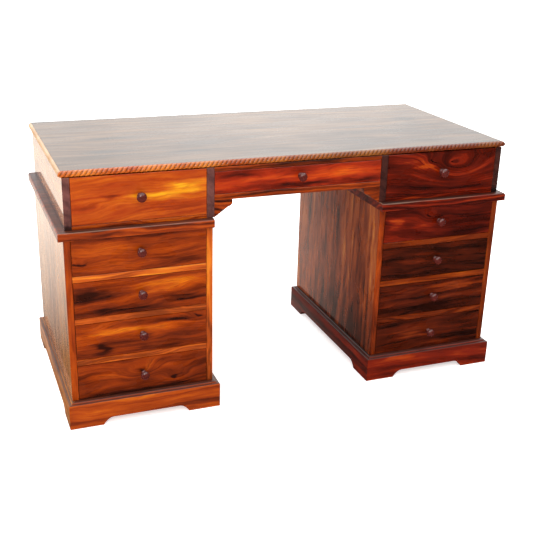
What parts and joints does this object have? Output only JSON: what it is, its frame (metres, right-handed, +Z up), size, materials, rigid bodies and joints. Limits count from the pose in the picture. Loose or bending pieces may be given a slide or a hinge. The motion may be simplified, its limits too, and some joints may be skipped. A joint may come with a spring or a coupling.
{
  "type": "writing desk with drawers",
  "caption": "Twin-pedestal writing desk in dark figured wood, with inset drawers that slide out, turned knobs, a rope-carved top edge and bracket plinths.",
  "frame": {"origin": "centre of the desk's footprint box, on the floor", "axes": "+X along the desk to the right as seen from the chair, +Y to the back, +Z up; drawers slide out along -Y"},
  "size_m": [1.416, 0.6614, 0.765],
  "materials": {
    "polished_top": "high-gloss clear lacquer over book-matched sheesham",
    "carved_moulding": "hand-carved rope twist, lacquered",
    "case_wood": "stained dark sheesham, lacquered",
    "drawer_front_wood": "figured sheesham, honey to dark brown, high gloss",
    "ledge_wood": "reddish sheesham, lacquered",
    "pedestal_wood": "sheesham boards, grain upright, lacquered",
    "plinth_wood": "orange-brown sheesham, lacquered",
    "turned_knob": "dark turned rosewood, polished",
    "drawer_lining": "unfinished pale hardwood",
    "back_panel": "thin panel, satin"
  },
  "bodies": {
    "carcase": {"desk_top": "polished_top", "rope_moulding": "carved_moulding", "case_side_left": "case_wood", "case_side_right": "case_wood", "case_partition_left": "case_wood", "case_partition_right": "case_wood", "case_back": "back_panel", "centre_top_rail": "drawer_front_wood", "centre_rail": "drawer_front_wood", "corbel_left": "case_wood", "corbel_right": "case_wood", "left_pedestal_cap": "ledge_wood", "left_pedestal_outer_side": "pedestal_wood", "left_pedestal_inner_side": "pedestal_wood", "left_pedestal_back": "back_panel", "left_divider_1": "pedestal_wood", "left_divider_2": "pedestal_wood", "left_divider_3": "pedestal_wood", "left_plinth": "plinth_wood", "right_pedestal_cap": "ledge_wood", "right_pedestal_outer_side": "pedestal_wood", "right_pedestal_inner_side": "pedestal_wood", "right_pedestal_back": "back_panel", "right_divider_1": "pedestal_wood", "right_divider_2": "pedestal_wood", "right_divider_3": "pedestal_wood", "right_plinth": "plinth_wood"},
    "drawer_top_left": {"drawer_front_top_left": "drawer_front_wood", "drawer_box_top_left": "drawer_lining", "knob_top_left": "turned_knob"},
    "drawer_top_right": {"drawer_front_top_right": "drawer_front_wood", "drawer_box_top_right": "drawer_lining", "knob_top_right": "turned_knob"},
    "drawer_top_centre": {"drawer_front_top_centre": "drawer_front_wood", "drawer_box_top_centre": "drawer_lining", "knob_top_centre": "turned_knob"},
    "drawer_left_1": {"drawer_front_left_1": "drawer_front_wood", "drawer_box_left_1": "drawer_lining", "knob_left_1": "turned_knob"},
    "drawer_left_2": {"drawer_front_left_2": "drawer_front_wood", "drawer_box_left_2": "drawer_lining", "knob_left_2": "turned_knob"},
    "drawer_left_3": {"drawer_front_left_3": "drawer_front_wood", "drawer_box_left_3": "drawer_lining", "knob_left_3": "turned_knob"},
    "drawer_left_4": {"drawer_front_left_4": "drawer_front_wood", "drawer_box_left_4": "drawer_lining", "knob_left_4": "turned_knob"},
    "drawer_right_1": {"drawer_front_right_1": "drawer_front_wood", "drawer_box_right_1": "drawer_lining", "knob_right_1": "turned_knob"},
    "drawer_right_2": {"drawer_front_right_2": "drawer_front_wood", "drawer_box_right_2": "drawer_lining", "knob_right_2": "turned_knob"},
    "drawer_right_3": {"drawer_front_right_3": "drawer_front_wood", "drawer_box_right_3": "drawer_lining", "knob_right_3": "turned_knob"},
    "drawer_right_4": {"drawer_front_right_4": "drawer_front_wood", "drawer_box_right_4": "drawer_lining", "knob_right_4": "turned_knob"}
  },
  "joints": [
    {"name": "drawer_top_left_slide", "type": "slide", "parent": "carcase", "child": "drawer_top_left", "axis": [0, -1, 0], "range_m": [0, 0.4]},
    {"name": "drawer_top_right_slide", "type": "slide", "parent": "carcase", "child": "drawer_top_right", "axis": [0, -1, 0], "range_m": [0, 0.4]},
    {"name": "drawer_top_centre_slide", "type": "slide", "parent": "carcase", "child": "drawer_top_centre", "axis": [0, -1, 0], "range_m": [0, 0.4]},
    {"name": "drawer_left_1_slide", "type": "slide", "parent": "carcase", "child": "drawer_left_1", "axis": [0, -1, 0], "range_m": [0, 0.4]},
    {"name": "drawer_left_2_slide", "type": "slide", "parent": "carcase", "child": "drawer_left_2", "axis": [0, -1, 0], "range_m": [0, 0.4]},
    {"name": "drawer_left_3_slide", "type": "slide", "parent": "carcase", "child": "drawer_left_3", "axis": [0, -1, 0], "range_m": [0, 0.4]},
    {"name": "drawer_left_4_slide", "type": "slide", "parent": "carcase", "child": "drawer_left_4", "axis": [0, -1, 0], "range_m": [0, 0.4]},
    {"name": "drawer_right_1_slide", "type": "slide", "parent": "carcase", "child": "drawer_right_1", "axis": [0, -1, 0], "range_m": [0, 0.4]},
    {"name": "drawer_right_2_slide", "type": "slide", "parent": "carcase", "child": "drawer_right_2", "axis": [0, -1, 0], "range_m": [0, 0.4]},
    {"name": "drawer_right_3_slide", "type": "slide", "parent": "carcase", "child": "drawer_right_3", "axis": [0, -1, 0], "range_m": [0, 0.4]},
    {"name": "drawer_right_4_slide", "type": "slide", "parent": "carcase", "child": "drawer_right_4", "axis": [0, -1, 0], "range_m": [0, 0.4]}
  ]
}
